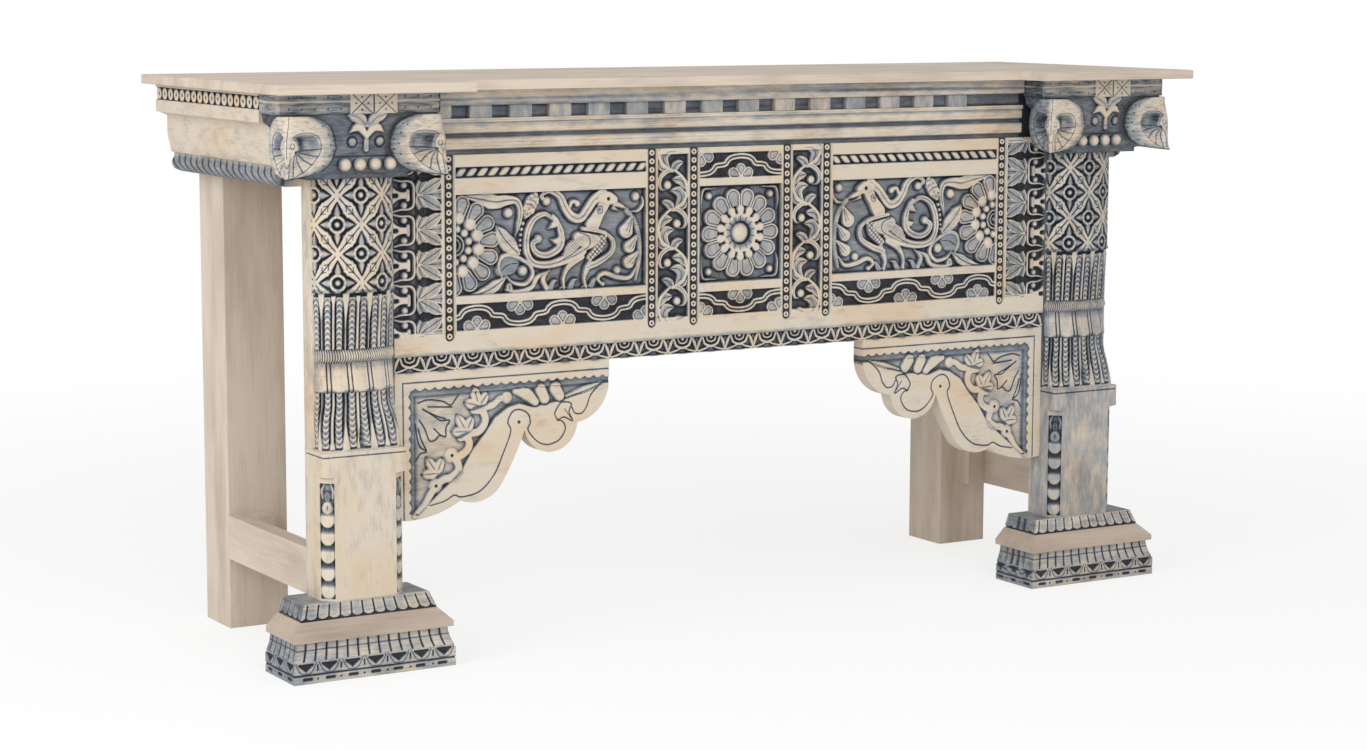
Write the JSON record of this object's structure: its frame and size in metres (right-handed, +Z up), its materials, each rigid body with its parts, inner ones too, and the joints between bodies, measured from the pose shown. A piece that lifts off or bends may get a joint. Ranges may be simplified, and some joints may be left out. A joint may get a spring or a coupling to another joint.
{
  "type": "carved console table",
  "caption": "Carved wooden pier table with a breakfront top, half-column posts with volute capitals, a relief apron, scalloped brackets and plain rear legs.",
  "frame": {"origin": "on the floor, under the middle of the table's bounding box", "axes": "+X to the right seen from the carved front, along the table's length; +Y from the carved front to the back; +Z up"},
  "size_m": [1.72, 0.556, 0.9],
  "materials": {
    "limed_top": "limed and waxed plank, matt",
    "limed_wood": "limed, sanded, matt",
    "washed_carving": "carved, blue-grey wash in the hollows, rubbed back to pale wood on the high points",
    "screw_steel": "zinc plated"
  },
  "bodies": {
    "root": {"apron_backboard": "limed_wood", "apron_bottom_rail": "washed_carving", "base_plinth_left": "washed_carving", "base_plinth_right": "washed_carving", "base_slab_left": "washed_carving", "base_slab_right": "washed_carving", "base_tier_left": "washed_carving", "base_tier_right": "washed_carving", "batten_screws": "screw_steel", "bead_strips_centre": "washed_carving", "bead_strips_inner": "washed_carving", "bead_strips_outer": "washed_carving", "bird_panel_left": "washed_carving", "bird_panel_right": "washed_carving", "bracket_left": "washed_carving", "bracket_right": "washed_carving", "capital_abacus_left": "washed_carving", "capital_abacus_right": "washed_carving", "capital_balls_left": "washed_carving", "capital_balls_right": "washed_carving", "capital_core_left": "washed_carving", "capital_core_right": "washed_carving", "capital_volutes_left": "washed_carving", "capital_volutes_right": "washed_carving", "corner_block_left": "limed_wood", "corner_block_right": "limed_wood", "corner_block_screws": "screw_steel", "dentil_blocks": "limed_wood", "dentil_strip": "washed_carving", "end_bead_strip_left": "washed_carving", "end_bead_strip_right": "washed_carving", "end_cornice_left": "washed_carving", "end_cornice_right": "washed_carving", "frieze_fascia": "washed_carving", "frieze_moulding": "washed_carving", "front_post_left": "washed_carving", "front_post_right": "washed_carving", "lotus_band": "washed_carving", "rear_leg_left": "limed_wood", "rear_leg_right": "limed_wood", "rear_rail": "limed_wood", "rosette_panel": "washed_carving", "scroll_strip_left": "washed_carving", "scroll_strip_right": "washed_carving", "side_rail_left": "limed_wood", "side_rail_right": "limed_wood", "side_stretcher_left": "limed_wood", "side_stretcher_right": "limed_wood", "top_batten_centre": "limed_wood", "top_batten_left": "limed_wood", "top_batten_right": "limed_wood", "top_ear_left": "limed_top", "top_ear_right": "limed_top", "top_plank_centre": "limed_top", "top_plank_front": "limed_top", "top_plank_rear": "limed_top", "vine_border_left": "washed_carving", "vine_border_right": "washed_carving"}
  },
  "joints": []
}
